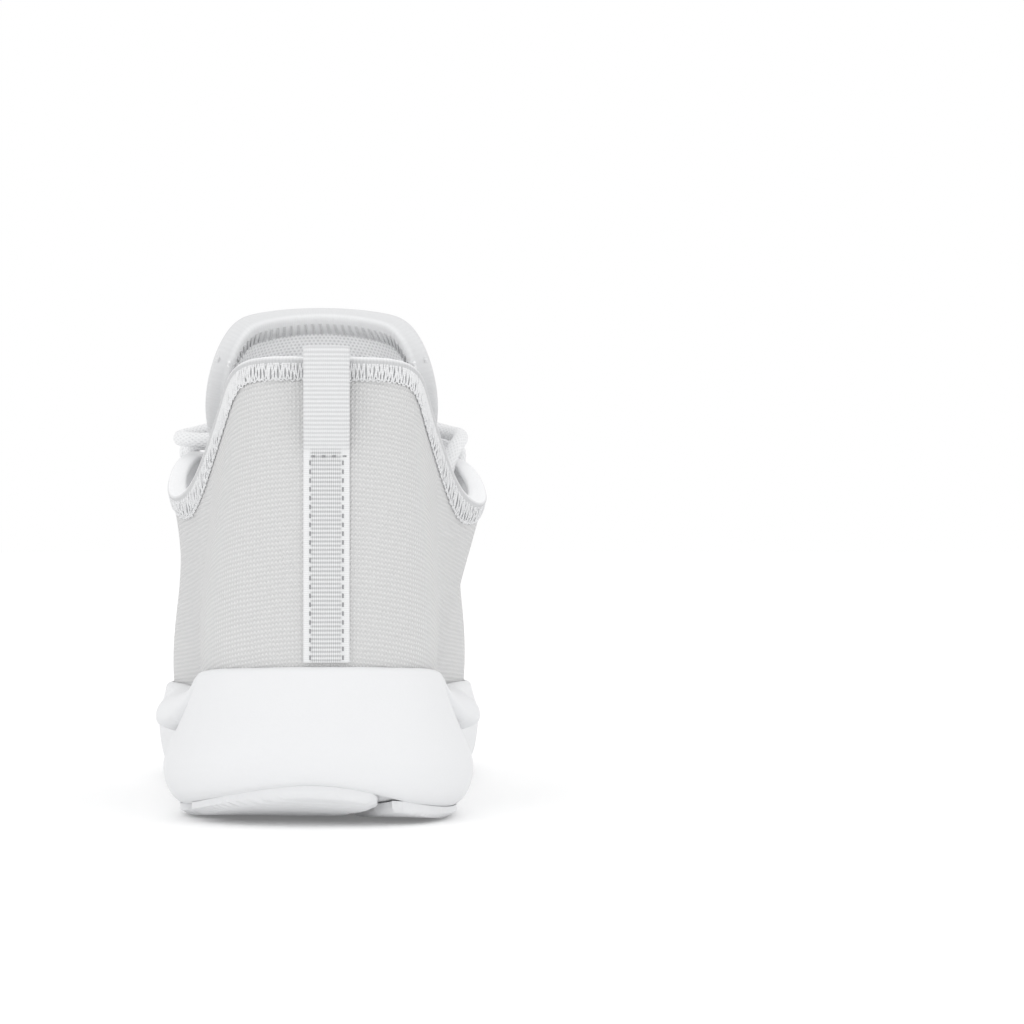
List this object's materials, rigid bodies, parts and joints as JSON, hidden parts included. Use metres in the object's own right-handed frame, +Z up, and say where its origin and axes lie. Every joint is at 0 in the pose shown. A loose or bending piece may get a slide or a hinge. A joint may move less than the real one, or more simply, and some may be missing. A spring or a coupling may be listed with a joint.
{
  "type": "running shoe",
  "caption": "Left low-cut running shoe with a chunky foam sole, knit upper, padded collar and tongue, heel pull tab and laces tied in a bow.",
  "frame": {"origin": "on the ground, under the centre of the shoe's bounding box", "axes": "+Y towards the toe, +X towards the inner (medial) side, +Z up"},
  "size_m": [0.0994, 0.2864, 0.1409],
  "materials": {
    "foam": "smooth moulded foam",
    "rubber": "matte, fine ribs",
    "knit": "fine knit",
    "mesh_lining": "spacer mesh",
    "white_fabric": "woven webbing and overlock thread",
    "board": "fibre board",
    "lace": "braided",
    "aglet": "clear film"
  },
  "bodies": {
    "shoe": {"midsole": "foam", "outsole_heel_crash_pad": "rubber", "outsole_heel_outer_pad": "rubber", "outsole_heel_inner_pad": "rubber", "outsole_forefoot_outer_pad": "rubber", "outsole_forefoot_inner_pad": "rubber", "outsole_toe_outer_pad": "rubber", "outsole_toe_inner_pad": "rubber", "lasting_board": "board", "insole": "mesh_lining", "upper_knit": "knit", "upper_lining": "mesh_lining", "heel_counter": "board", "toe_puff": "board", "collar_foam": "foam", "collar_edge_band": "white_fabric", "eyestay_outer": "white_fabric", "eyestay_inner": "white_fabric", "eyelet_outer_1": "white_fabric", "eyelet_outer_2": "white_fabric", "eyelet_outer_3": "white_fabric", "eyelet_outer_4": "white_fabric", "eyelet_outer_5": "white_fabric", "eyelet_inner_1": "white_fabric", "eyelet_inner_2": "white_fabric", "eyelet_inner_3": "white_fabric", "eyelet_inner_4": "white_fabric", "eyelet_inner_5": "white_fabric", "tongue_lower_knit": "knit", "tongue_lower_foam": "foam", "tongue_lower_lining": "mesh_lining", "pull_tab_strap": "white_fabric", "lace_lacing": "lace", "lace_knot": "lace", "bow_loop_outer": "lace", "bow_loop_inner": "lace", "lace_end_outer": "lace", "aglet_outer": "aglet", "lace_end_inner": "lace", "aglet_inner": "aglet"},
    "pull_tab": {"pull_tab_loop": "white_fabric"},
    "tongue_flap": {"tongue_upper_knit": "knit", "tongue_upper_foam": "foam", "tongue_upper_lining": "mesh_lining", "tongue_edge_band": "white_fabric"}
  },
  "joints": [
    {"name": "pull_tab_hinge", "type": "hinge", "parent": "shoe", "child": "pull_tab", "pos_m": [0.0021, -0.1373, 0.097], "axis": [1, 0, 0], "range_deg": [0, 70], "stiffness_Nm_per_rad": 0.01},
    {"name": "tongue_hinge", "type": "hinge", "parent": "shoe", "child": "tongue_flap", "pos_m": [0.0021, -0.0202, 0.109], "axis": [-1, 0, 0], "range_deg": [0, 35], "stiffness_Nm_per_rad": 0.1}
  ]
}
